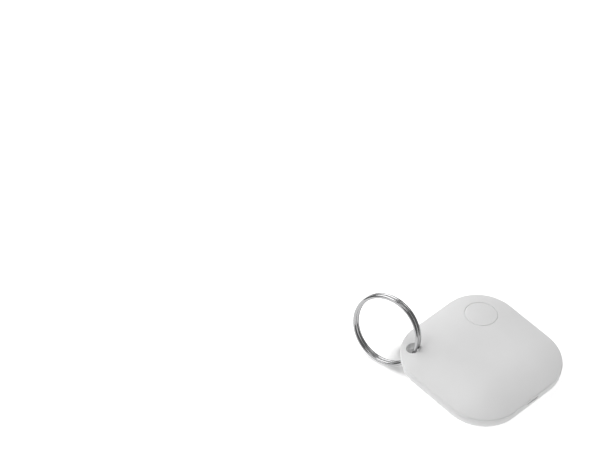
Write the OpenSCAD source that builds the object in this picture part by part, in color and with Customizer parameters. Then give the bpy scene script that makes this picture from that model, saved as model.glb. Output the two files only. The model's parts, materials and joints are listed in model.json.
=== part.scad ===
// Key-finder tag: a rounded-square two-shell case propped on the split ring through its corner hole.
// The case is drawn flat, rear face on z = 0 and centred on the origin, then laid() tilts it.
// It rests on the table on its lowest edge and on the bottom of the ring.

/* [Case] */
// Side of the square case
side = 36.5; // [36:0.1:37]
// Radius of the corners in plan
corner_r = 11.4; // [11:0.1:11.8]
// Thickness at the middle
thick = 6; // [6:0.1:6.4]
// Height of the parting line above the rear face
parting_z = 3.5; // [3.4:0.1:3.6]
// Radius of the round between the rear face and the side
rear_round = 2.4; // [2:0.1:2.5]
// Radius of the crisp edge round on the front shell
edge_round = 0.5; // [0.4:0.05:0.6]
// Wall thickness of the side of the rear cover
wall = 1.1; // [1:0.05:1.1]
// Thickness of the front face
front_wall = 0.9; // [0.8:0.05:0.95]
// Thickness of the rear face
rear_wall = 0.8; // [0.7:0.05:0.8]
// Width of the prying slot
slot_w = 4; // [3.5:0.1:5]

/* [Key ring] */
// Distance of the hole from the middle towards -X
hole_x = 12.2; // [12:0.1:12.4]
// Distance of the hole from the middle towards +Y
hole_y = 13.1; // [12.7:0.1:13.2]
// Radius of the hole
hole_r = 1.75; // [1.75:0.05:1.9]
// Radius of the round lug that carries the hole
lug_r = 5.2; // [5:0.1:5.6]
// Height of the underside of the lug above the rear face
lug_z = 2.2; // [2:0.1:2.3]
// Radius of the middle of the ring's wire path
ring_r = 9.45; // [9.4:0.01:9.5]
// Radius of the ring's wire
wire_r = 0.515; // [0.48:0.005:0.52]
// Distance between the two turns of wire
turn_gap = 1.07; // [1.06:0.01:1.1]

/* [Button] */
// Distance of the button from the middle, along X and along Y
button_at = 9.2; // [9:0.1:9.4]
// Radius of the button's face
button_r = 4.3; // [4.1:0.1:4.35]
// Gap all round the button
button_gap = 0.1; // [0.1:0.05:0.2]

/* [Stance] */
// Tilt about X
tilt_x = 4.9; // [4.8:0.05:5.2]
// Tilt about Y
tilt_y = 2.75; // [2.7:0.05:2.8]

/* [Hidden] */
$fn = 64;

core = side / 2 - corner_r;
eps = 0.01;

// The front face is an arc that is level over the middle and falls towards the side.
dome_drop = 2;
dome_r = (corner_r * corner_r + dome_drop * dome_drop) / (2 * dome_drop);
dome_z = thick - dome_r;
dome_steps = 10;
round_steps = 5;

// Inner wall of the rear cover, and the tongue of the front shell that fits inside it.
tongue_gap = 0.1;
tongue_t = 0.7;
tongue_z = 2.35;
seal_h = 0.25;

// Round opening of the rear cover under the lug, and the wall round it.
notch_r = lug_r + 0.1;
notch_wall_r = notch_r + 0.9;

board_z = 1.5;
board_t = 0.8;
board_top = board_z + board_t;
cell_at = [-3, -4.5];
cell_r = 10;
cell_h = 3.2;
cell_z = rear_wall + 0.15;
cell_top = cell_z + cell_h;
window_r = cell_r + 0.35;
screw_at = [[12.6, -12.6], [-14, 2.2], [-1.2, 14.2]];
screw_r = 0.6;
boss_r = 1.5;
buzzer_at = [-1, -1.5];
buzzer_r = 7.5;
buzzer_seat_z = 4.85;
adhesive_t = 0.1;
brass_t = 0.15;
ceramic_t = 0.1;

switch_h = 1;
cover_t = 0.15;
plunger_top = 3.85;
plunger_r = 0.75;
flange_z = 3.95;
flange_t = 0.4;
flange_r = button_r + 0.5;

// Pose of the ring in the case's frame: its centre, and the lean and heading of its axis.
ring_at = [-13.3, 21.675, 5.35];
ring_lean = 72.82;
ring_heading = 189.45;
cross_start = 88;
cross_span = 32;
end_gap = 4;
ring_turn = 360 * 2 - cross_span - end_gap;
ring_steps = 80;
wire_sides = 14;

// The direction of down in the case's frame, and how far the tilted case is lifted onto the table.
down = [sin(tilt_y), -cos(tilt_y) * sin(tilt_x), -cos(tilt_y) * cos(tilt_x)];
rear_arc = arc(corner_r - rear_round, rear_round, rear_round, -90, 0, round_steps);
lift = (abs(down[0]) + abs(down[1])) * core
       + max([for (p = rear_arc) p[0] * norm([down[0], down[1]]) + p[1] * down[2]]);

// Shift that puts the origin under the middle of the whole object.
stance_x = -0.144;
stance_y = -6.265;

// Profile points, measured from the axis of a corner (x) and from the rear face (y).
function arc(cx, cy, r, a0, a1, n) =
    [for (i = [0:n]) let (a = a0 + (a1 - a0) * i / n) [cx + r * cos(a), cy + r * sin(a)]];

// Front face lowered by t, out to radius r, with an edge round e.
function front_profile(z0, t, r, e) =
    let (d = dome_r - t,
         cx = r - e,
         cy = dome_z + sqrt((d - e) * (d - e) - cx * cx),
         lean = asin(cx / (d - e)))
    concat([[0, z0], [r, z0]],
           arc(cx, cy, e, 0, 90 - lean, round_steps),
           [for (i = [1:dome_steps]) let (a = lean * (1 - i / dome_steps))
               [d * sin(a), dome_z + d * cos(a)]]);

function rear_profile(z0, z1, r, e) =
    concat([[0, z0]], arc(r - e, z0 + e, e, -90, 0, round_steps), [[r, z1], [0, z1]]);

// A profile swept round the rounded square: four corners, four sides and the middle.
module swept(profile, z0, z1) {
    for (q = [0:3]) rotate([0, 0, 90 * q]) translate([core, core, 0]) {
        rotate_extrude(angle = 90) polygon(profile);
        rotate([90, 0, 0]) linear_extrude(2 * core) polygon(profile);
    }
    translate([-core, -core, z0]) cube([2 * core, 2 * core, z1 - z0]);
}

module plate(inset, z0, h) {
    r = corner_r - inset;
    translate([0, 0, z0]) linear_extrude(h) {
        square([2 * core, 2 * (core + r)], center = true);
        square([2 * (core + r), 2 * core], center = true);
        for (x = [-core, core], y = [-core, core]) translate([x, y]) circle(r);
    }
}

module rod(at, r, z0, z1) {
    translate([at[0], at[1], z0]) cylinder(r = r, h = z1 - z0);
}

module block(at, size, z0) {
    translate([at[0] - size[0] / 2, at[1] - size[1] / 2, z0]) cube(size);
}

// A flat frame that follows the case outline, open where the lug is.
module frame(inset, width, z0, h) {
    difference() {
        plate(inset, z0, h);
        plate(inset + width, z0 - 1, h + 2);
        rod([-hole_x, hole_y], notch_wall_r + 0.1, z0 - 1, z0 + h + 1);
    }
}

module laid() {
    translate([stance_x, stance_y, lift]) rotate([tilt_x, tilt_y, 0]) children();
}

module front_outer() {
    swept(front_profile(parting_z, 0, corner_r, edge_round), parting_z, thick);
}

// The hollow front half with the tongue that fits inside the rear cover.
module front_case() {
    difference() {
        union() {
            front_outer();
            difference() {
                plate(wall + tongue_gap, tongue_z, parting_z - tongue_z + 0.2);
                rod([-hole_x, hole_y], notch_wall_r + 0.1, 0, thick);
            }
        }
        difference() {
            swept(front_profile(parting_z - 2, front_wall, corner_r - wall - tongue_gap - tongue_t, 0.3),
                  parting_z - 2, thick - front_wall);
            rod([-hole_x, hole_y], notch_wall_r, 0, thick);
        }
    }
}

// Solid corner that carries the hole, hair-thin inside the outline of the case.
module lug() {
    intersection() {
        plate(0.03, lug_z, parting_z - lug_z + 0.3);
        rod([-hole_x, hole_y], lug_r, 0, thick);
    }
}

module buzzer_seat() {
    difference() {
        rod(buzzer_at, buzzer_r, buzzer_seat_z, thick - front_wall + 0.1);
        rod(buzzer_at, buzzer_r - 0.9, 0, thick);
    }
}

module ring_hole() {
    rod([-hole_x, hole_y], hole_r, 0, thick + 1);
    translate([-hole_x, hole_y, lug_z - eps]) cylinder(r1 = hole_r + 0.3, r2 = hole_r - eps, h = 0.3);
}

module front_shell() {
    color("white") laid() difference() {
        union() {
            front_case();
            lug();
            buzzer_seat();
            for (p = screw_at) rod(p, boss_r, board_top, 4.3);
        }
        ring_hole();
        rod([button_at, button_at], button_r + button_gap, 0, thick + 1);
        rod([button_at, button_at], flange_r + button_gap, 0, flange_z + flange_t + 0.02);
        for (p = screw_at) rod(p, screw_r, 0, 3.8);
    }
}

module rear_cover() {
    color("gainsboro") laid() difference() {
        union() {
            difference() {
                swept(rear_profile(0, parting_z, corner_r, rear_round), 0, parting_z);
                difference() {
                    swept(rear_profile(rear_wall, parting_z + 1, corner_r - wall, rear_round - wall),
                          rear_wall, parting_z + 1);
                    rod([-hole_x, hole_y], notch_wall_r, 0, thick);
                }
            }
            difference() {
                rod(cell_at, 6, rear_wall - eps, cell_z);
                rod(cell_at, 5, 0, thick);
            }
            frame(wall - eps, 0.9, rear_wall - eps, tongue_z - seal_h - rear_wall + eps);
        }
        rod([-hole_x, hole_y], notch_r, -1, thick);
        block([0, -side / 2], [slot_w, 1.2, 0.6 + eps], parting_z - 0.6);
    }
}

module seal_ring() {
    color("dimgray") laid() frame(wall + 0.1, 0.7, tongue_z - seal_h, seal_h);
}

module button_cap() {
    at = [button_at, button_at];
    color("white") laid() union() {
        intersection() {
            rod(at, button_r, flange_z, thick + 1);
            front_outer();
        }
        rod(at, flange_r, flange_z, flange_z + flange_t);
        rod(at, 1.2, plunger_top, flange_z + eps);
    }
}

module switch_base() {
    at = [button_at, button_at];
    color("black") laid() difference() {
        block(at, [3.4, 2.8, switch_h], board_top);
        rod(at, plunger_r + 0.1, board_top + 0.3, thick);
    }
}

module switch_cover() {
    at = [button_at, button_at];
    color("silver") laid() difference() {
        block(at, [3.4, 2.8, cover_t], board_top + switch_h);
        rod(at, plunger_r + 0.1, board_top, thick);
    }
}

module switch_plunger() {
    color("sienna") laid() rod([button_at, button_at], plunger_r, board_top + switch_h - 0.35, plunger_top);
}

module circuit_board() {
    color("darkgreen") laid() difference() {
        plate(2.1, board_z, board_t);
        rod([-hole_x, hole_y], notch_wall_r + 0.2, 0, thick);
        rod(cell_at, window_r, 0, thick);
        for (p = screw_at) rod(p, screw_r + 0.1, 0, thick);
    }
}

module board_screws() {
    color("silver") laid() for (p = screw_at) difference() {
        union() {
            rod(p, 1.1, board_z - 0.45, board_z);
            rod(p, screw_r - 0.03, board_z - eps, 3.6);
        }
        for (a = [0, 90]) translate([p[0], p[1], board_z - 0.45]) rotate([0, 0, a])
            cube([1.2, 0.25, 0.4], center = true);
    }
}

module cell_can() {
    color("silver") laid() difference() {
        union() {
            rod(cell_at, cell_r - 0.4, cell_z, cell_z + 0.25);
            translate([cell_at[0], cell_at[1], cell_z])
                cylinder(r1 = cell_r - 0.4, r2 = cell_r, h = 0.4);
            rod(cell_at, cell_r, cell_z + 0.4, cell_top - 0.4);
            translate([cell_at[0], cell_at[1], cell_top - 0.4])
                cylinder(r1 = cell_r, r2 = cell_r - 0.3, h = 0.2);
        }
        rod(cell_at, cell_r - 0.3, cell_z + 0.3, thick);
    }
}

module cell_core() {
    color("gray") laid() rod(cell_at, cell_r - 0.7, cell_z + 0.3, cell_top - 0.5);
}

module cell_seal() {
    color("dimgray") laid() difference() {
        rod(cell_at, cell_r - 0.3, cell_z + 0.3, cell_top - 0.25);
        rod(cell_at, cell_r - 0.7, 0, cell_top - 0.5);
        rod(cell_at, cell_r - 1, 0, thick);
    }
}

module cell_cap() {
    color("silver") laid() union() {
        rod(cell_at, cell_r - 1, cell_top - 0.5, cell_top - 0.25);
        translate([cell_at[0], cell_at[1], cell_top - 0.25])
            cylinder(r1 = cell_r - 1.15, r2 = cell_r - 1.3, h = 0.25);
    }
}

// Spring strip from the board over the cell's edge, with a dimple over the middle of its cap.
module negative_contact() {
    strip_z = cell_top + 0.1;
    color("silver") laid() {
        block([8, -0.3], [1.2, 3, 0.15], board_top);
        block([7.45, -0.3], [0.15, 2.4, strip_z + 0.15 - board_top], board_top);
        block([3.1, -0.3], [8.8, 2.4, 0.15], strip_z);
        rod([-0.4, -0.3], 0.6, cell_top + eps, strip_z + eps);
    }
}

// Folded blade on the board that presses on the side of the cell's can.
module positive_contact() {
    color("silver") laid() {
        block([cell_at[0] + cell_r + 1.2, cell_at[1]], [1.2, 3, 0.15], board_top);
        block([cell_at[0] + cell_r + 0.65, cell_at[1]], [0.15, 3, 1.4], board_top);
        block([cell_at[0] + cell_r + 0.4, cell_at[1]], [0.6, 3, 0.15], board_top + 1.25);
        block([cell_at[0] + cell_r + 0.15, cell_at[1]], [0.15, 3, 0.8], board_top + 0.6);
    }
}

module radio_chip() {
    color("black") laid() block([12.2, -0.5], [4, 4, 0.85], board_top);
}

module main_crystal() {
    color("silver") laid() block([12.8, -5.4], [2, 1.6, 0.5], board_top);
}

module clock_crystal() {
    color("silver") laid() block([14.6, -8.2], [1.6, 1, 0.5], board_top);
}

module chip_antenna() {
    color("ivory") laid() block([7, 14.6], [5.2, 1.9, 1.1], board_top);
}

module inductor() {
    color("dimgray") laid() block([2.6, 10.2], [2, 2, 1], board_top);
}

module capacitors() {
    color("tan") laid() {
        for (i = [0:3]) block([9.2 + 1.9 * i, 3.2], [1, 0.5, 0.5], board_top);
        for (i = [0:2]) block([10.5, -8 - 1.2 * i], [1, 0.5, 0.5], board_top);
    }
}

module resistors() {
    color("black") laid() {
        for (i = [0:2]) block([5.4, 8.6 + 1.2 * i], [1, 0.5, 0.35], board_top);
        for (i = [0:2]) block([15.2, -2.2 + 1.3 * i], [0.5, 1, 0.35], board_top);
    }
}

module buzzer_adhesive() {
    color("beige") laid() difference() {
        rod(buzzer_at, buzzer_r, buzzer_seat_z - adhesive_t, buzzer_seat_z);
        rod(buzzer_at, buzzer_r - 0.9, 0, thick);
    }
}

module buzzer_disc() {
    z1 = buzzer_seat_z - adhesive_t;
    color("goldenrod") laid() rod(buzzer_at, buzzer_r, z1 - brass_t, z1);
}

module buzzer_ceramic() {
    z1 = buzzer_seat_z - adhesive_t - brass_t;
    color("whitesmoke") laid() rod(buzzer_at, 5, z1 - ceramic_t, z1);
}

// Two pins on the board that touch the rim of the disc, outside the cell.
module buzzer_springs() {
    z1 = buzzer_seat_z - adhesive_t - brass_t;
    color("gold") laid() for (x = [-3.4, -1.4]) {
        rod([x, 6.6 + 1.2], 0.5, board_top, board_top + 1);
        translate([x, 6.6 + 1.2, board_top + 1]) cylinder(r = 0.25, h = z1 - board_top - 1.2);
        block([x, 6.6], [0.5, 3, 0.15], z1 - 0.2);
    }
}

// Height of the wire's middle at an angle a along the wire, stepping across once.
function wire_z(a) =
    let (s = min(max((a - (360 - cross_span)) / (cross_span - end_gap), 0), 1))
    turn_gap * (s * s * (3 - 2 * s) - 0.5);

module split_ring() {
    points = [for (i = [0:ring_steps], j = [0:wire_sides - 1])
        let (a = ring_turn * i / ring_steps,
             b = 360 * j / wire_sides,
             r = ring_r + wire_r * cos(b))
        [r * cos(a + cross_start), r * sin(a + cross_start), wire_z(a) + wire_r * sin(b)]];
    first = [for (j = [0:wire_sides - 1]) j];
    last = [for (j = [wire_sides - 1:-1:0]) ring_steps * wire_sides + j];
    walls = [for (i = [0:ring_steps - 1], j = [0:wire_sides - 1])
        let (k = (j + 1) % wire_sides)
        [i * wire_sides + j, (i + 1) * wire_sides + j, (i + 1) * wire_sides + k, i * wire_sides + k]];
    color("silver") laid() translate(ring_at) rotate([0, ring_lean, ring_heading])
        polyhedron(points, concat([first, last], walls), convexity = 8);
}

front_shell();
rear_cover();
seal_ring();
button_cap();
switch_base();
switch_cover();
switch_plunger();
circuit_board();
board_screws();
cell_can();
cell_core();
cell_seal();
cell_cap();
negative_contact();
positive_contact();
radio_chip();
main_crystal();
clock_crystal();
chip_antenna();
inductor();
capacitors();
resistors();
buzzer_disc();
buzzer_ceramic();
buzzer_adhesive();
buzzer_springs();
split_ring();
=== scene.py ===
"""A key-finder tag lying propped on its split ring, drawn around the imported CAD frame."""
import json
import math

import bmesh
import bpy
from mathutils import Euler, Matrix, Vector, geometry


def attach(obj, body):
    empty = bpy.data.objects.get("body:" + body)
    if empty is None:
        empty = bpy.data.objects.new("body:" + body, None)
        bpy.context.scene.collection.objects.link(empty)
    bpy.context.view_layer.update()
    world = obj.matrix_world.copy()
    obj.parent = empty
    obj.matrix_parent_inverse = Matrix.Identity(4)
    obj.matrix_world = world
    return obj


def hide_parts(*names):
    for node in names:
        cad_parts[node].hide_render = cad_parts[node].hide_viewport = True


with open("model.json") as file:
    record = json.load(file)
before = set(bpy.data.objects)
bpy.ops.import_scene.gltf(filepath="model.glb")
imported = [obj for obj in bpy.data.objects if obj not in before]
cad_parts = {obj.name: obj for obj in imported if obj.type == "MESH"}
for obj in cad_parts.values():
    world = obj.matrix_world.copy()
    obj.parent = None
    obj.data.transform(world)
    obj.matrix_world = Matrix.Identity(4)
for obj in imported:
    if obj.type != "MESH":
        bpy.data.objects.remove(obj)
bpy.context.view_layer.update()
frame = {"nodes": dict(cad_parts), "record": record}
nodes = frame["nodes"]

MM = 0.001

# ---- Sizes of the case, in millimetres, in the case's own frame: rear face on z = 0, middle on the origin
SIDE = 36.5
CORNER_R = 11.4
CORE = SIDE / 2 - CORNER_R
THICK = 6.0
PARTING_Z = 3.5
SEAM = 0.07
REAR_ROUND = 2.4
EDGE_ROUND = 0.5
INNER_ROUND = 0.3
DOME_DROP = 2.0
DOME_R = (CORNER_R ** 2 + DOME_DROP ** 2) / (2 * DOME_DROP)
DOME_Z = THICK - DOME_R
FRONT_WALL = 0.9
REAR_WALL = 0.8
REAR_INNER_R = 10.3
REAR_INNER_ROUND = 1.3
REAR_INNER_CUT = 1.15
TONGUE_OUT_R = 10.2
TONGUE_IN_R = 9.5
TONGUE_Z = 2.35
LEDGE_W = 0.9
LEDGE_Z = 2.1
SLOT_W = 4.0
SLOT_DEPTH = 0.6
SLOT_Z = 2.9

HOLE = (-12.2, 13.1)
HOLE_R = 1.75
HOLE_ROUND = 0.08
LUG_R = 5.2
LUG_Z = 2.2
NOTCH_R = 5.3
NOTCH_WALL_R = 6.2
NOTCH_GAP = 0.1

BUTTON = (9.2, 9.2)
BUTTON_R = 4.3
BUTTON_GAP = 0.1
BUTTON_ROUND = 0.08
RIM = 0.05
LIP_R = 4.38
LIP_DROP = 0.14
FLANGE_R = 4.8
FLANGE_Z = 3.95
FLANGE_T = 0.4
FLANGE_GAP = 0.02
PLUNGER_PAD_R = 1.2
PLUNGER_TOP = 3.85

# ---- Sizes of what the case holds, in millimetres. A plan is (x, y, width, length) and stands on the board
BOARD_TOP = 2.3
BOARD_T = 0.8
SCREWS = [(12.6, -12.6), (-14.0, 2.2), (-1.2, 14.2)]
BOSS_R = 1.5
BORE_R = 0.6
BORE_TOP = 3.8
SCREW_HEAD_R = 1.1
SCREW_HEAD_ROUND = 0.25
SCREW_HEAD_H = 0.45
SCREW_CREST_R = 0.57
SCREW_ROOT_R = 0.5
SCREW_TIP_R = 0.4
SCREW_PITCH = 0.38
SCREW_TURNS = 5
SCREW_LENGTH = 2.1
CROSS_AT = 0.36
CROSS_SIDE = 0.46
BUZZER = (-1.0, -1.5)
BUZZER_R = 7.5
BUZZER_SEAT_W = 0.9
BUZZER_SEAT_Z = 4.85
CELL = (-3.0, -4.5)
CELL_R = 10.0
CELL_Z = 0.95
CELL_TOP = CELL_Z + 3.2
CELL_SEAT_R = (5, 6)
CAN_WALL = 0.3
CAN_FOOT_ROUND = 0.4
CAN_RIM_ROUND = 0.25
CAN_RIM_Z = CELL_TOP - 0.2
CAP_R = CELL_R - 1
CAP_T = 0.25
CAP_ROUND = 0.12
CAP_FACE_R = CELL_R - 2.5
CAP_FACE_DROP = 0.04
CAPACITORS = [(9.2 + 1.9 * i, 3.2, 1, 0.5) for i in range(4)]
CAPACITORS += [(10.5, -8 - 1.2 * i, 1, 0.5) for i in range(3)]
CAPACITOR_H = 0.5
CAPACITOR_CAP = 0.24
RESISTORS = [(5.4, 8.6 + 1.2 * i, 1, 0.5) for i in range(3)]
RESISTORS += [(15.2, -2.2 + 1.3 * i, 0.5, 1) for i in range(3)]
RESISTOR_H = 0.35
RESISTOR_CAP = 0.2
TIN_T = 0.01
ANTENNA = (7, 14.6, 5.2, 1.9)
ANTENNA_H = 1.1
ANTENNA_CAP = 0.5
RADIO = (12.2, -0.5, 4, 4)
RADIO_H = 0.85
DOT_AT = (10.7, 1)
DOT_R = 0.22
DOT_T = 0.01
PIN_OUT = 2.08
PIN_FIRST = -1.4
PIN_PITCH = 0.4
PIN_LENGTH = 0.3
PIN_WIDTH = 0.2
PIN_H = 0.12
CRYSTALS = [(12.8, -5.4, 2, 1.6), (14.6, -8.2, 1.6, 1)]
CRYSTAL_H = 0.5
CRYSTAL_FOOT_H = 0.2
CRYSTAL_LID_Z = 0.15
CRYSTAL_INSET = 0.24
INDUCTOR = (2.6, 10.2, 2, 2)
INDUCTOR_H = 1
INDUCTOR_FOOT_H = 0.3
INDUCTOR_LID_Z = 0.8
WINDING_R = 0.86
WINDING_WIRE_R = 0.045
WINDING_PITCH = 0.084
WINDING_TURNS = 6

# ---- The ring, in the same frame
RING_AT = (-13.3, 21.675, 5.35)
RING_R = 9.45
WIRE_R = 0.515
TURN_GAP = 1.07
RING_LEAN = 72.82
RING_HEADING = 189.45
CROSS_START = 88.0
CROSS_SPAN = 32.0
END_GAP = 4.0
RING_TURN = 720.0 - CROSS_SPAN - END_GAP
WIRE_END_ROUND = 0.16


def case_matrix():
    """The case's place in the row: its rear face mount gives the middle and the tilt."""
    mount = next(m for m in frame["record"]["mounts"] if m["name"] == "rear_face")
    up = -Vector(mount["axis"])
    tilt_x = -math.asin(up.y)
    tilt_y = math.atan2(up.x, up.z)
    return Matrix.Translation(mount["pos_m"]) @ Euler((tilt_x, tilt_y, 0), "XYZ").to_matrix().to_4x4()


CASE = case_matrix()


# ---- Camera and stage
CAMERA_AT = Vector((-0.32868, -0.30128, 0.51725))
CAMERA_AZIMUTH = -42.202
CAMERA_ELEVATION = 46.314
CAMERA_ROLL = -2.272
CAMERA_LENS = 156.38
WORLD_LIGHT = 0.22
FLOOR_HALF = 3.0
FLOOR_PALE = 0.9
FLOOR_GLOW = 0.52
# The floor isn't plain: it carries painted shade. Its glow fades out in one patch and a smaller spot is
# darker, both given in metres.
# They lie where the camera sees the floor through the ring's hole, and they also show from other sides.
PAINTED_SHADE_NO_GLOW_AT = (-0.0095, 0.0095, 0)
PAINTED_SHADE_NO_GLOW_R = (0.004, 0.008)
PAINTED_SHADE_DARK_AT = (-0.0079, 0.0103, 0)
PAINTED_SHADE_DARK_R = (0.002, 0.0045)
PAINTED_SHADE_PALENESS = 0.3
# Azimuth from the camera's, elevation, distance, size and power
LIGHTS = {
    "key": (215, 52, 0.9, (0.8, 0.8), 5.8),
    "fill": (-60, 32, 1.0, (0.5, 0.9), 1.7),
    "top": (90, 75, 1.0, (0.5, 0.5), 1.4),
}


def direction(azimuth, elevation):
    """Unit vector towards a place at that azimuth and elevation; azimuth 0 is on the -Y side."""
    a, e = math.radians(azimuth), math.radians(elevation)
    return Vector((math.sin(a) * math.cos(e), -math.cos(a) * math.cos(e), math.sin(e)))


def make_camera():
    data = bpy.data.cameras.new("camera")
    data.lens = CAMERA_LENS
    data.sensor_width = 36
    data.clip_start = 0.01
    camera = bpy.data.objects.new("camera", data)
    bpy.context.scene.collection.objects.link(camera)
    back = direction(CAMERA_AZIMUTH, CAMERA_ELEVATION)
    turn = back.to_track_quat("Z", "Y") @ Euler((0, 0, math.radians(CAMERA_ROLL))).to_quaternion()
    camera.matrix_world = Matrix.Translation(CAMERA_AT) @ turn.to_matrix().to_4x4()
    bpy.context.scene.camera = camera


def area_light(name, azimuth, elevation, distance, size, power):
    """A soft rectangular light that faces the origin."""
    data = bpy.data.lights.new(name, "AREA")
    data.shape = "RECTANGLE"
    data.size, data.size_y = size
    data.energy = power
    light = bpy.data.objects.new(name, data)
    bpy.context.scene.collection.objects.link(light)
    towards = direction(azimuth, elevation)
    spin = towards.to_track_quat("Z", "Y").to_matrix().to_4x4()
    light.matrix_world = Matrix.Translation(towards * distance) @ spin


def floor_material():
    n = Nodes("floor_with_painted_shade")
    # Painted shade: the base colour darkens at one spot and the glow fades out in a patch, both under the
    # ring's hole.
    n.set(Base_Color=n.fade(PAINTED_SHADE_DARK_AT, PAINTED_SHADE_DARK_R, (PAINTED_SHADE_PALENESS, FLOOR_PALE)), Roughness=0.6,
          Emission_Color=(1, 1, 1, 1), Emission_Strength=n.fade(PAINTED_SHADE_NO_GLOW_AT, PAINTED_SHADE_NO_GLOW_R, (0.0, FLOOR_GLOW)))
    return n.material


def make_floor():
    corners = [(x * FLOOR_HALF, y * FLOOR_HALF, 0) for x, y in ((-1, -1), (1, -1), (1, 1), (-1, 1))]
    mesh = bpy.data.meshes.new("floor")
    mesh.from_pydata(corners, [], [(0, 1, 2, 3)])
    mesh.materials.append(floor_material())
    floor = bpy.data.objects.new("floor", mesh)
    bpy.context.scene.collection.objects.link(floor)


def make_stage():
    scene = bpy.context.scene
    scene.view_settings.view_transform = "Standard"
    scene.world = bpy.data.worlds.new("studio")
    scene.world.use_nodes = True
    background = scene.world.node_tree.nodes["Background"]
    background.inputs["Color"].default_value = (1, 1, 1, 1)
    background.inputs["Strength"].default_value = WORLD_LIGHT
    make_floor()
    for name, (turn, elevation, distance, size, power) in LIGHTS.items():
        area_light(name, CAMERA_AZIMUTH + turn, elevation, distance, size, power)


# ---- Materials
NOISE_RANGE = (0.3, 0.7)    # where noise mostly lies


class Nodes:
    """Adds nodes to a material and links them."""

    def __init__(self, name):
        self.material = bpy.data.materials.new(name)
        self.material.use_nodes = True
        self.tree = self.material.node_tree
        self.shader = self.tree.nodes["Principled BSDF"]
        self.place = self.tree.nodes.new("ShaderNodeTexCoord").outputs["Object"]

    def add(self, kind, inputs=None, **settings):
        node = self.tree.nodes.new(kind)
        for key, value in settings.items():
            setattr(node, key, value)
        for key, value in (inputs or {}).items():
            if isinstance(value, bpy.types.NodeSocket):
                self.tree.links.new(value, node.inputs[key])
            else:
                node.inputs[key].default_value = value
        return node

    def noise(self, size, detail=3.0):
        """Noise whose blobs are about size metres across."""
        return self.add("ShaderNodeTexNoise", {"Vector": self.place, "Scale": 1 / size,
                                               "Detail": detail}).outputs["Fac"]

    def voronoi(self, scale, randomness=1.0, **settings):
        """Distance in a pattern of about scale cells to the metre."""
        inputs = {"Vector": self.place, "Scale": scale, "Randomness": randomness}
        return self.add("ShaderNodeTexVoronoi", inputs, **settings).outputs["Distance"]

    def remap(self, value, source, target):
        """Maps a value from one range to another and holds it at the ends."""
        ends = {"From Min": source[0], "From Max": source[1], "To Min": target[0], "To Max": target[1]}
        return self.add("ShaderNodeMapRange", {"Value": value, **ends}).outputs["Result"]

    def fade(self, centre, radii, target):
        """Goes from the first target to the second between two distances from a centre."""
        gap = self.add("ShaderNodeVectorMath", {0: self.place, 1: centre}, operation="DISTANCE")
        return self.remap(gap.outputs["Value"], radii, target)

    def spread(self, noise, low, high):
        return self.remap(noise, NOISE_RANGE, (low, high))

    def tint(self, noise, low, high):
        ramp = self.add("ShaderNodeValToRGB", {"Fac": noise})
        for element, position, color in zip(ramp.color_ramp.elements, NOISE_RANGE, (low, high)):
            element.position = position
            element.color = (*color, 1)
        return ramp.outputs["Color"]

    def mix(self, factor, first, second):
        """The first colour where the factor is 0, the second where it is 1."""
        return self.add("ShaderNodeMix", {0: factor, 6: first, 7: second}, data_type="RGBA").outputs[2]

    def bump(self, height, depth, strength=1.0):
        node = self.add("ShaderNodeBump", {"Height": height, "Distance": depth, "Strength": strength})
        self.tree.links.new(node.outputs["Normal"], self.shader.inputs["Normal"])

    def set(self, **inputs):
        for key, value in inputs.items():
            socket = self.shader.inputs[key.replace("_", " ")]
            if isinstance(value, bpy.types.NodeSocket):
                self.tree.links.new(value, socket)
            else:
                socket.default_value = value


def shade(color, factor):
    return tuple(c * factor for c in color)


def plastic(name, color, roughness=0.45):
    """Moulded plastic with a fine spark-eroded grain and slight unevenness of colour."""
    n = Nodes(name)
    n.set(Base_Color=n.tint(n.noise(0.009), shade(color, 0.985), shade(color, 1.01)),
          Roughness=n.spread(n.noise(0.003), roughness - 0.04, roughness + 0.04),
          Specular_IOR_Level=0.45)
    n.bump(n.noise(0.00012, 2.0), 0.000004, 0.6)
    return n.material


def metal(name, color, roughness=0.2, grain=0.0002, depth=0.000002):
    """Bare metal with fine scratches of this grain and depth."""
    n = Nodes(name)
    scratch = n.noise(grain, 4.0)
    n.set(Base_Color=n.tint(n.noise(0.004), shade(color, 0.95), shade(color, 1.03)), Metallic=1.0,
          Roughness=n.spread(scratch, roughness * 0.7, roughness * 1.4))
    n.bump(scratch, depth, 0.5)
    return n.material


def solder_mask():
    """Green mask with paler tracks under it and small tinned vias."""
    mask = (0.010, 0.085, 0.035, 1)
    mask_over_copper = (0.022, 0.15, 0.06, 1)
    tin = (0.55, 0.53, 0.48, 1)
    n = Nodes("solder_mask")
    track = n.remap(n.voronoi(480.0, feature="DISTANCE_TO_EDGE"), (0.05, 0.09), (1.0, 0.0))
    via = n.remap(n.voronoi(420.0, 0.8), (0.10, 0.13), (1.0, 0.0))
    n.set(Base_Color=n.mix(via, n.mix(track, mask, mask_over_copper), tin),
          Roughness=n.spread(n.noise(0.002), 0.26, 0.34))
    n.bump(track, 0.00002, 0.4)
    return n.material


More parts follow.
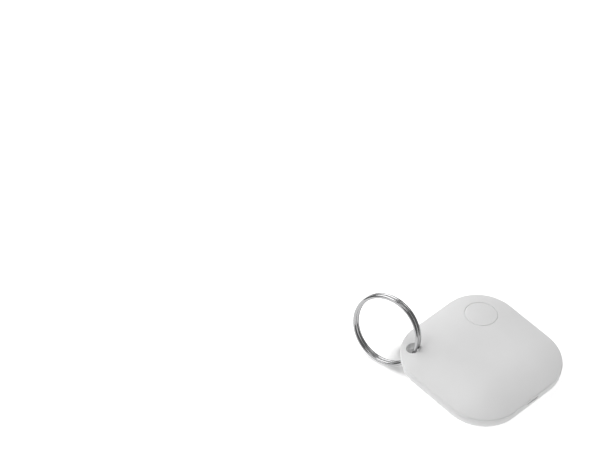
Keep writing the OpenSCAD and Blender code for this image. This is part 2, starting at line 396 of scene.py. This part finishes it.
def build_materials():
    white = (0.80, 0.80, 0.80)
    m = {}
    m["shell"] = plastic("shell_plastic", white)
    # Painted shade: the rear cover takes the front shell's white made a little darker, for its side that
    # faces down.
    m["rear_shell"] = plastic("rear_painted_shade_plastic", shade(white, 0.96))
    m["button"] = plastic("button_plastic", white, 0.42)
    m["seal_silicone"] = plastic("silicone", (0.05, 0.05, 0.055), 0.6)
    m["board"] = solder_mask()
    m["black_plastic"] = plastic("black_plastic", (0.015, 0.015, 0.016), 0.5)
    m["plunger_plastic"] = plastic("brown_plastic", (0.20, 0.07, 0.03), 0.5)
    m["ceramic"] = plastic("ceramic", (0.72, 0.69, 0.62), 0.35)
    m["capacitor_body"] = plastic("capacitor_body", (0.32, 0.20, 0.10), 0.45)
    m["ferrite"] = plastic("ferrite", (0.05, 0.05, 0.055), 0.6)
    m["adhesive"] = plastic("adhesive_tape", (0.62, 0.52, 0.32), 0.5)
    m["cell_fill"] = plastic("cell_fill", (0.05, 0.05, 0.05), 0.8)
    m["steel"] = metal("steel", (0.55, 0.55, 0.56), 0.3)
    m["cell_steel"] = metal("cell_steel", (0.60, 0.60, 0.61), 0.28, grain=0.0003, depth=0.0000004)
    m["brass"] = metal("brass", (0.72, 0.52, 0.20), 0.25)
    m["gold_plate"] = metal("gold_plate", (0.85, 0.64, 0.27), 0.22)
    m["ring_steel"] = metal("ring_steel", (0.42, 0.42, 0.425), 0.08, grain=0.0004, depth=0.000001)
    return m


# ---- Plan curves, in millimetres
def circle(centre, radius, count=96):
    return [(centre[0] + radius * math.cos(2 * math.pi * i / count),
             centre[1] + radius * math.sin(2 * math.pi * i / count)) for i in range(count)]


def rounded(radius, per_corner=40, per_side=16):
    """Rounded square whose corners have this radius about the case's corner axes."""
    points = []
    signs = ((1, 1), (-1, 1), (-1, -1), (1, -1))
    steps = ((-1, 0), (0, -1), (1, 0), (0, 1))
    for corner, ((sx, sy), (step_x, step_y)) in enumerate(zip(signs, steps)):
        for i in range(per_corner + 1):
            a = math.pi / 2 * (corner + i / per_corner)
            points.append((sx * CORE + radius * math.cos(a), sy * CORE + radius * math.sin(a)))
        x0, y0 = points[-1]
        for i in range(1, per_side):
            along = 2 * CORE * i / per_side
            points.append((x0 + step_x * along, y0 + step_y * along))
    return points


def spaced(a, b, count):
    return [a + (b - a) * i / count for i in range(count + 1)]


def grid(pitch, keep):
    """A staggered grid of points over the case, where keep(x, y) holds."""
    row_pitch = 0.866 * pitch
    half = int(SIDE / 2 / pitch) + 1
    points = []
    for j in range(-half, half + 1):
        for i in range(-half, half + 1):
            x, y = (i + 0.5 * (j % 2)) * pitch, j * row_pitch
            if keep(x, y):
                points.append((x, y))
    return points


def corner_distance(x, y):
    """Distance out from the corner axes, which is 0 over the middle and CORNER_R at the outline."""
    return math.hypot(max(abs(x) - CORE, 0), max(abs(y) - CORE, 0))


def gap_to(x, y, centre):
    return math.hypot(x - centre[0], y - centre[1])


# ---- Heights, in millimetres
def dome(x, y, lowered=0.0, out=CORNER_R, edge=EDGE_ROUND):
    """The front face, or the ceiling under it when lowered, with its round at radius out."""
    big = DOME_R - lowered
    r = min(corner_distance(x, y), out)
    cx = out - edge
    cz = DOME_Z + math.sqrt((big - edge) ** 2 - cx ** 2)
    if r > cx * big / (big - edge):
        return cz + math.sqrt(max(edge ** 2 - (r - cx) ** 2, 0))
    return DOME_Z + math.sqrt(big ** 2 - r ** 2)


def dip(distance, radius):
    """How far a round of this radius has dropped, at a distance inside its edge."""
    if distance >= radius:
        return 0.0
    return radius - math.sqrt(max(radius ** 2 - (radius - max(distance, 0)) ** 2, 0))


def rear_face(x, y):
    return dip(CORNER_R - corner_distance(x, y), REAR_ROUND)


def round_steps(radius, count=5):
    """Insets at which a round is cut, so that its facets turn by equal angles."""
    return [radius * (1 - math.cos(math.pi / 2 * i / count)) for i in range(1, count + 1)]


# ---- Meshes
LEVEL_GAP = 1e-4    # heights closer than this are one level


def finish_piece(name, mesh, body, slot, replaced=()):
    mesh.transform(CASE @ Matrix.Scale(MM, 4))
    mesh.materials.append(MATERIALS[slot])
    piece = bpy.data.objects.new(name, mesh)
    bpy.context.scene.collection.objects.link(piece)
    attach(piece, body)
    if replaced:
        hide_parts(*replaced)
    return piece


def smooth(mesh, angle=32):
    for polygon in mesh.polygons:
        polygon.use_smooth = True
    mesh.set_sharp_from_angle(angle=math.radians(angle))


def edge_key(a, b):
    return min(a, b), max(a, b)


def edges_of(face):
    return zip(face, face[1:] + face[:1])


def cut_plan(curves, extra):
    """Cuts a plan into triangles along the curves. Gives its points, its triangles, the triangles beside
    each edge, and the edges that lie on a curve."""
    points, edges = [], []
    for curve in curves:
        first = len(points)
        points.extend(curve)
        edges.extend((first + i, first + (i + 1) % len(curve)) for i in range(len(curve)))
    points.extend(extra)
    cut = geometry.delaunay_2d_cdt([Vector(p) for p in points], edges, [], 0, 1e-5)
    plan, plan_edges, faces, _, from_edges, _ = cut
    on_curve = {edge_key(*e) for e, source in zip(plan_edges, from_edges) if source}
    beside = {}
    for index, face in enumerate(faces):
        for a, b in edges_of(face):
            beside.setdefault(edge_key(a, b), []).append(index)
    return plan, faces, beside, on_curve


def spans_of_faces(plan, faces, beside, on_curve, span):
    """The span of each triangle. Triangles with no curve between them make one region, which takes the
    span at the middle of its widest triangle."""
    spans = {}
    for start in range(len(faces)):
        if start in spans:
            continue
        group, queue, seen = [], [start], {start}
        while queue:
            index = queue.pop()
            group.append(index)
            for a, b in edges_of(faces[index]):
                if edge_key(a, b) in on_curve:
                    continue
                fresh = [other for other in beside[edge_key(a, b)] if other not in seen]
                seen.update(fresh)
                queue.extend(fresh)
        widest = max(group, key=lambda i: geometry.area_tri(*(plan[v] for v in faces[i])))
        middle = sum((plan[v] for v in faces[widest]), Vector((0, 0))) / 3
        found = span(middle.x, middle.y)
        spans.update((index, found) for index in group)
    return spans


def terrace(name, curves, extra, span):
    """A closed mesh over a plan cut up by curves. span(x, y) gives the region at a point as a pair of
    height functions, its underside and its top, or None where there is nothing."""
    plan, faces, beside, on_curve = cut_plan(curves, extra)
    spans = spans_of_faces(plan, faces, beside, on_curve, span)
    found, heights, mesh_faces, vertices = {}, {}, [], []

    def level(vertex, height):
        """The mesh's vertex over a point of the plan at this height, made where there is none yet."""
        key = (vertex, round(height, 4))
        if key not in found:
            found[key] = len(vertices)
            vertices.append((plan[vertex].x, plan[vertex].y, height))
            heights.setdefault(vertex, []).append(key[1])
        return found[key]

    def at(vertex, index, which):
        return spans[index][which](plan[vertex].x, plan[vertex].y)

    def wall(a, b, low_a, low_b, high_a, high_b):
        """Face standing on the edge a-b, through every level that its two ends have."""
        low = [round(low_a, 4), round(low_b, 4)]
        high = [round(high_a, 4), round(high_b, 4)]
        if high[0] - low[0] < LEVEL_GAP and high[1] - low[1] < LEVEL_GAP:
            return
        up = sorted(h for h in heights[b] if low[1] <= h <= high[1])
        down = sorted((h for h in heights[a] if low[0] <= h <= high[0]), reverse=True)
        loop = [found[(b, h)] for h in up] + [found[(a, h)] for h in down]
        if len(loop) >= 3:
            mesh_faces.append(loop)

    solid = [index for index in range(len(faces)) if spans[index] is not None]
    for index in solid:
        mesh_faces.append([level(v, at(v, index, 1)) for v in faces[index]])
        mesh_faces.append([level(v, at(v, index, 0)) for v in reversed(faces[index])])
    for index in solid:
        for a, b in edges_of(faces[index]):
            low_a, low_b = at(a, index, 0), at(b, index, 0)
            high_a, high_b = at(a, index, 1), at(b, index, 1)
            others = [i for i in beside[edge_key(a, b)] if i != index and spans[i] is not None]
            if not others:
                wall(a, b, low_a, low_b, high_a, high_b)
                continue
            next_low_a, next_low_b = at(a, others[0], 0), at(b, others[0], 0)
            next_high_a, next_high_b = at(a, others[0], 1), at(b, others[0], 1)
            if next_low_a + next_low_b > low_a + low_b + LEVEL_GAP:
                wall(a, b, low_a, low_b, next_low_a, next_low_b)
            if next_high_a + next_high_b < high_a + high_b - LEVEL_GAP:
                wall(a, b, next_high_a, next_high_b, high_a, high_b)
    return cleaned(name, vertices, mesh_faces)


def cleaned(name, vertices, faces):
    mesh = bpy.data.meshes.new(name)
    mesh.from_pydata(vertices, [], faces)
    bm = bmesh.new()
    bm.from_mesh(mesh)
    bmesh.ops.dissolve_degenerate(bm, dist=LEVEL_GAP, edges=bm.edges)
    bmesh.ops.recalc_face_normals(bm, faces=bm.faces)
    bm.to_mesh(mesh)
    bm.free()
    smooth(mesh)
    return mesh


def flat(height):
    return lambda x, y: height


# ---- The case
def front_top(x, y):
    z = dome(x, y)
    z -= dip(gap_to(x, y, HOLE) - HOLE_R, HOLE_ROUND)
    z -= dip(gap_to(x, y, BUTTON) - BUTTON_R - BUTTON_GAP, RIM)
    return z


def parting(x, y):
    return PARTING_Z + dip(CORNER_R - corner_distance(x, y), SEAM)


def lug_under(x, y):
    edge = dip(CORNER_R - corner_distance(x, y), INNER_ROUND)
    return LUG_Z + max(edge, dip(gap_to(x, y, HOLE) - HOLE_R, INNER_ROUND))


def ceiling(x, y):
    return dome(x, y, FRONT_WALL, TONGUE_IN_R, INNER_ROUND)


def flange_pocket(x, y):
    return max(ceiling(x, y), FLANGE_Z + FLANGE_T + FLANGE_GAP)


def front_span(x, y):
    out = corner_distance(x, y)
    hole = gap_to(x, y, HOLE)
    if out > CORNER_R or hole < HOLE_R or gap_to(x, y, BUTTON) < BUTTON_R + BUTTON_GAP:
        return None
    boss = min(gap_to(x, y, p) for p in SCREWS)
    under = flat(PARTING_Z)
    if hole < LUG_R:
        under = lug_under
    elif boss < BORE_R:
        under = flat(BORE_TOP)
    elif boss < BOSS_R:
        under = flat(BOARD_TOP)
    elif TONGUE_IN_R < out < TONGUE_OUT_R and hole > NOTCH_WALL_R + NOTCH_GAP:
        under = flat(TONGUE_Z)
    elif BUZZER_R - BUZZER_SEAT_W < gap_to(x, y, BUZZER) < BUZZER_R:
        under = flat(BUZZER_SEAT_Z)
    elif gap_to(x, y, BUTTON) < FLANGE_R + BUTTON_GAP:
        under = flange_pocket
    elif out < TONGUE_IN_R and hole > NOTCH_WALL_R:
        under = ceiling
    elif out > TONGUE_OUT_R:
        under = parting
    return under, front_top


def build_front_shell():
    lean = math.asin((CORNER_R - EDGE_ROUND) / (DOME_R - EDGE_ROUND))
    turns = spaced(lean, math.pi / 2, 7)
    curves = [rounded(CORNER_R - EDGE_ROUND + EDGE_ROUND * math.sin(a)) for a in turns]
    curves += [rounded(r) for r in (CORNER_R - SEAM, CORNER_R - INNER_ROUND, TONGUE_OUT_R, TONGUE_IN_R)]
    curves += [rounded(TONGUE_IN_R - INNER_ROUND * (1 - math.cos(a))) for a in spaced(0.5, 1.3, 2)]
    curves += [circle(HOLE, HOLE_R + inset, 72) for inset in [0] + round_steps(HOLE_ROUND)]
    curves += [circle(HOLE, r, 144) for r in (LUG_R, NOTCH_WALL_R, NOTCH_WALL_R + NOTCH_GAP)]
    curves += [circle(BUTTON, BUTTON_R + BUTTON_GAP + inset, 120) for inset in [0] + round_steps(RIM, 3)]
    curves += [circle(BUTTON, FLANGE_R + BUTTON_GAP, 120)]
    curves += [circle(p, r, 40) for p in SCREWS for r in (BORE_R, BOSS_R)]
    curves += [circle(BUZZER, r) for r in (BUZZER_R - BUZZER_SEAT_W, BUZZER_R)]
    extra = grid(0.7, lambda x, y: corner_distance(x, y) < CORNER_R - 0.8
                 and gap_to(x, y, HOLE) > HOLE_R + 0.6 and gap_to(x, y, BUTTON) > BUTTON_R + 0.5)
    mesh = terrace("front_shell_skin", curves, extra, front_span)
    return finish_piece("front_shell_skin", mesh, "front_half", "shell", ["front_shell"])


def cover_rim(x, y):
    return PARTING_Z - dip(CORNER_R - corner_distance(x, y), SEAM)


def cover_floor(x, y):
    return REAR_WALL + dip(REAR_INNER_R - corner_distance(x, y), REAR_INNER_ROUND)


def rear_span(x, y):
    out = corner_distance(x, y)
    hole = gap_to(x, y, HOLE)
    if out > CORNER_R or hole < NOTCH_R:
        return None
    if abs(x) < SLOT_W / 2 and y < -SIDE / 2 + SLOT_DEPTH:
        top = flat(SLOT_Z)
    elif out > REAR_INNER_R or hole < NOTCH_WALL_R:
        top = cover_rim
    elif out > REAR_INNER_R - LEDGE_W and hole > NOTCH_WALL_R + NOTCH_GAP:
        top = flat(LEDGE_Z)
    elif CELL_SEAT_R[0] < gap_to(x, y, CELL) < CELL_SEAT_R[1]:
        top = flat(CELL_Z)
    else:
        top = cover_floor
    return rear_face, top


def build_rear_cover():
    curves = [rounded(CORNER_R - inset) for inset in [0] + round_steps(REAR_ROUND, 8)]
    curves += [rounded(CORNER_R - inset) for inset in round_steps(SEAM, 3)]
    curves += [rounded(REAR_INNER_R - inset) for inset in (0, LEDGE_W, REAR_INNER_CUT)]
    curves += [circle(HOLE, r, 144) for r in (NOTCH_R, NOTCH_WALL_R, NOTCH_WALL_R + NOTCH_GAP)]
    curves += [circle(CELL, r) for r in CELL_SEAT_R]
    edge, inner = -SIDE / 2 - 0.5, -SIDE / 2 + SLOT_DEPTH
    curves.append([(-SLOT_W / 2, edge), (SLOT_W / 2, edge), (SLOT_W / 2, inner), (-SLOT_W / 2, inner)])
    extra = grid(1.0, lambda x, y: corner_distance(x, y) < CORNER_R - REAR_ROUND - 0.4)
    mesh = terrace("rear_cover_skin", curves, extra, rear_span)
    return finish_piece("rear_cover_skin", mesh, "rear_half", "rear_shell", ["rear_cover"])


def button_face(x, y):
    return dome(x, y) - dip(BUTTON_R - gap_to(x, y, BUTTON), BUTTON_ROUND)


def button_lip(x, y):
    return dome(x, y) - LIP_DROP


def button_span(x, y):
    out = gap_to(x, y, BUTTON)
    if out > FLANGE_R:
        return None
    under = flat(PLUNGER_TOP) if out < PLUNGER_PAD_R else flat(FLANGE_Z)
    if out < BUTTON_R:
        return under, button_face
    return under, (button_lip if out < LIP_R else flat(FLANGE_Z + FLANGE_T))


def build_button():
    curves = [circle(BUTTON, BUTTON_R - inset, 120) for inset in [0] + round_steps(BUTTON_ROUND, 3)]
    curves += [circle(BUTTON, LIP_R, 120), circle(BUTTON, FLANGE_R, 120), circle(BUTTON, PLUNGER_PAD_R, 48)]
    extra = grid(0.5, lambda x, y: gap_to(x, y, BUTTON) < BUTTON_R - 0.35)
    mesh = terrace("button_skin", curves, extra, button_span)
    return finish_piece("button_skin", mesh, "button", "button", ["button_cap"])


# ---- The split ring
def wire_height(a):
    """Height of the wire's middle at an angle along it: level, across once, level again."""
    s = min(max((a - (360 - CROSS_SPAN)) / (CROSS_SPAN - END_GAP), 0), 1)
    return TURN_GAP * (s * s * (3 - 2 * s) - 0.5)


def wire_rows(steps):
    """The wire's rows as (angle along it, radius). Its ends are rounded off by rows that shrink."""
    end_angle = math.degrees(WIRE_END_ROUND / RING_R)
    core = WIRE_R - WIRE_END_ROUND
    turns = spaced(0, math.pi / 2, 4)
    start = [(end_angle * (1 - math.cos(t)), core + WIRE_END_ROUND * math.sin(t)) for t in turns]
    middle = [(a, WIRE_R) for a in spaced(end_angle, RING_TURN - end_angle, steps)][1:-1]
    return start + middle + [(RING_TURN - a, r) for a, r in reversed(start)]


def build_ring(steps=420, around=28):
    """One wire in two turns."""
    rows = wire_rows(steps)
    vertices, faces = [], []
    for angle, radius in rows:
        place = math.radians(angle + CROSS_START)
        for j in range(around):
            b = 2 * math.pi * j / around
            r = RING_R + radius * math.cos(b)
            z = wire_height(angle) + radius * math.sin(b)
            vertices.append((r * math.cos(place), r * math.sin(place), z))
    for i in range(len(rows) - 1):
        for j in range(around):
            k = (j + 1) % around
            faces.append((i * around + j, (i + 1) * around + j, (i + 1) * around + k, i * around + k))
    faces.append(tuple(range(around)))
    faces.append(tuple((len(rows) - 1) * around + j for j in reversed(range(around))))
    mesh = bpy.data.meshes.new("split_ring_wire")
    mesh.from_pydata(vertices, [], faces)
    turn = Euler((0, math.radians(RING_LEAN), math.radians(RING_HEADING)), "XYZ").to_matrix().to_4x4()
    mesh.transform(Matrix.Translation(RING_AT) @ turn)
    smooth(mesh, 50)
    return finish_piece("split_ring_wire", mesh, "ring", "ring_steel", ["split_ring"])


# ---- Parts inside the case
def lathe(name, centre, profile, body, slot, replaced=(), count=96):
    """A profile of (radius, height) points turned about an upright axis. It starts and ends on the axis."""
    vertices, faces, rows = [], [], []
    for radius, height in profile:
        if radius == 0:
            rows.append([len(vertices)])
            vertices.append((centre[0], centre[1], height))
            continue
        rows.append(list(range(len(vertices), len(vertices) + count)))
        vertices.extend((x, y, height) for x, y in circle(centre, radius, count))
    for low, high in zip(rows, rows[1:]):
        for i in range(count):
            j = (i + 1) % count
            if len(low) == 1:
                faces.append((low[0], high[j], high[i]))
            elif len(high) == 1:
                faces.append((low[i], low[j], high[0]))
            else:
                faces.append((low[i], low[j], high[j], high[i]))
    mesh = bpy.data.meshes.new(name)
    mesh.from_pydata(vertices, [], faces)
    smooth(mesh)
    return finish_piece(name, mesh, body, slot, replaced)


def boxes(name, items, body, slot, replaced=(), bevel=0.04):
    """Several boxes in one mesh, each (x, y, width, length, underside, top), with rounded edges."""
    bm = bmesh.new()
    for x, y, width, length, low, high in items:
        stretch = Matrix.Diagonal((width, length, high - low, 1))
        bmesh.ops.create_cube(bm, size=1, matrix=Matrix.Translation((x, y, (low + high) / 2)) @ stretch)
    bmesh.ops.bevel(bm, geom=bm.edges[:], offset=bevel, segments=2, affect="EDGES")
    mesh = bpy.data.meshes.new(name)
    bm.to_mesh(mesh)
    bm.free()
    smooth(mesh)
    return finish_piece(name, mesh, body, slot, replaced)


def quarter(radius_at, height_at, round_r, start, stop, count=5):
    """Profile points on a round, between two angles in degrees."""
    turns = [math.radians(a) for a in spaced(start, stop, count)]
    return [(radius_at + round_r * math.cos(a), height_at + round_r * math.sin(a)) for a in turns]


def build_cell():
    wall_r = CELL_R - CAN_WALL
    can = [(0, CELL_Z)] + quarter(CELL_R - CAN_FOOT_ROUND, CELL_Z + CAN_FOOT_ROUND, CAN_FOOT_ROUND, -90, 0)
    can += quarter(CELL_R - CAN_RIM_ROUND, CAN_RIM_Z - CAN_RIM_ROUND, CAN_RIM_ROUND, 0, 90)
    can += [(wall_r, CAN_RIM_Z - 0.08), (wall_r, CELL_Z + CAN_WALL), (0, CELL_Z + CAN_WALL)]
    lathe("cell_can_skin", CELL, can, "cell", "cell_steel", ["cell_can"])
    cap = [(0, CELL_TOP - 2 * CAP_T), (CAP_R, CELL_TOP - 2 * CAP_T), (CAP_R, CELL_TOP - CAP_T)]
    cap += quarter(CAP_R - 0.3, CELL_TOP - CAP_ROUND, CAP_ROUND, 0, 90, 4)
    face_z = CELL_TOP - CAP_FACE_DROP
    cap += [(CAP_FACE_R + 0.1, CELL_TOP), (CAP_FACE_R, face_z), (0, face_z)]
    lathe("cell_cap_skin", CELL, cap, "cell", "cell_steel", ["cell_cap"])


def standing(plan, height):
    """A box that stands on the board."""
    return (*plan, BOARD_TOP, BOARD_TOP + height)


def end_caps(plan, height, cap):
    """The two tinned ends of a chip part, a hair larger than its body all round."""
    x, y, width, length = plan
    grow = 2 * TIN_T
    if width > length:
        ends = [(x + side * (width - cap) / 2, y, cap + grow, length + grow) for side in (-1, 1)]
    else:
        ends = [(x, y + side * (length - cap) / 2, width + grow, cap + grow) for side in (-1, 1)]
    return [standing(end, height + TIN_T) for end in ends]


def build_chip_parts():
    """Bodies of the capacitors, resistors and antenna, and the tinned ends of them all."""
    boxes("capacitor_bodies", [standing(plan, CAPACITOR_H) for plan in CAPACITORS], "front_half",
          "capacitor_body", ["capacitors"])
    boxes("resistor_bodies", [standing(plan, RESISTOR_H) for plan in RESISTORS], "front_half",
          "black_plastic", ["resistors"])
    tinned = []
    for plan in CAPACITORS:
        tinned += end_caps(plan, CAPACITOR_H, CAPACITOR_CAP)
    for plan in RESISTORS:
        tinned += end_caps(plan, RESISTOR_H, RESISTOR_CAP)
    tinned += end_caps(ANTENNA, ANTENNA_H, ANTENNA_CAP)
    boxes("tinned_ends", tinned, "front_half", "steel", bevel=0.03)
    boxes("antenna_body", [standing(ANTENNA, ANTENNA_H)], "front_half", "ceramic",
          ["chip_antenna"], 0.06)


def build_radio_chip():
    """The chip with a dot by its first pin, and pads along its four sides."""
    boxes("radio_chip_body", [standing(RADIO, RADIO_H)], "front_half", "black_plastic",
          ["radio_chip"], 0.06)
    low = BOARD_TOP + RADIO_H - DOT_T
    high = BOARD_TOP + RADIO_H + DOT_T
    dot = [(0, low), (DOT_R, low), (DOT_R, high), (0, high)]
    lathe("radio_chip_dot", DOT_AT, dot, "front_half", "steel", count=32)
    x, y = RADIO[:2]
    pins = []
    for i in range(8):
        along = PIN_FIRST + PIN_PITCH * i
        for side in (-1, 1):
            pins.append(standing((x + side * PIN_OUT, y + along, PIN_LENGTH, PIN_WIDTH), PIN_H))
            pins.append(standing((x + along, y + side * PIN_OUT, PIN_WIDTH, PIN_LENGTH), PIN_H))
    boxes("radio_chip_pins", pins, "front_half", "steel", bevel=0.02)


def build_crystals():
    """Each can is a lid on a wider foot."""
    cans = [standing(plan, CRYSTAL_FOOT_H) for plan in CRYSTALS]
    for x, y, width, length in CRYSTALS:
        cans.append((x, y, width - CRYSTAL_INSET, length - CRYSTAL_INSET,
                     BOARD_TOP + CRYSTAL_LID_Z, BOARD_TOP + CRYSTAL_H))
    boxes("crystal_cans", cans, "front_half", "steel", ["main_crystal", "clock_crystal"], 0.05)


def build_inductor():
    """Two ferrite flanges with wire wound between them."""
    flanges = [standing(INDUCTOR, INDUCTOR_FOOT_H)]
    flanges.append((*INDUCTOR, BOARD_TOP + INDUCTOR_LID_Z, BOARD_TOP + INDUCTOR_H))
    boxes("inductor_flanges", flanges, "front_half", "ferrite", ["inductor"], 0.05)
    low = BOARD_TOP + INDUCTOR_FOOT_H - 0.01
    winding = [(0, low)]
    for i in range(WINDING_TURNS):
        winding += quarter(WINDING_R, low + 0.05 + WINDING_PITCH * i, WINDING_WIRE_R, -80, 80, 4)
    winding.append((0, BOARD_TOP + INDUCTOR_LID_Z + 0.01))
    lathe("inductor_winding", INDUCTOR[:2], winding, "front_half", "gold_plate", count=64)


def screw_profile(low):
    """A pan head whose bearing face is at this height, and a ridged shank above it."""
    profile = [(0, low - 0.3), (0.5, low - 0.3)]
    profile += quarter(SCREW_HEAD_R - SCREW_HEAD_ROUND, low - 0.2, SCREW_HEAD_ROUND, -90, 0, 4)
    profile += [(SCREW_HEAD_R, low), (SCREW_CREST_R, low)]
    for i in range(SCREW_TURNS):
        profile.append((SCREW_CREST_R, low + 0.1 + SCREW_PITCH * i))
        profile.append((SCREW_ROOT_R, low + 0.1 + SCREW_PITCH * (i + 0.5)))
    return profile + [(SCREW_TIP_R, low + SCREW_LENGTH), (0, low + SCREW_LENGTH)]


def build_screws():
    """Screws that hold the board from below. Four raised quarters leave a cross between them in a head."""
    low = BOARD_TOP - BOARD_T
    for index, at in enumerate(SCREWS):
        lathe("screw_%d" % index, at, screw_profile(low), "front_half", "steel",
              ["board_screws"] if index == 0 else (), 48)
        quarters = []
        for sx in (-1, 1):
            for sy in (-1, 1):
                quarters.append((at[0] + sx * CROSS_AT, at[1] + sy * CROSS_AT, CROSS_SIDE, CROSS_SIDE,
                                 low - SCREW_HEAD_H, low - SCREW_HEAD_H + 0.2))
        boxes("screw_head_%d" % index, quarters, "front_half", "steel", bevel=0.08)


def dress_cad_nodes():
    """Every CAD node that stays in view takes the material of its slot."""
    slots = {s["node"]: s["material_slot"] for s in frame["record"]["subparts"]}
    for name, obj in nodes.items():
        obj.data.materials.clear()
        obj.data.materials.append(MATERIALS[slots[name]])


make_camera()
make_stage()
MATERIALS = build_materials()
dress_cad_nodes()
build_front_shell()
build_rear_cover()
build_button()
build_ring()
build_cell()
build_chip_parts()
build_radio_chip()
build_crystals()
build_inductor()
build_screws()
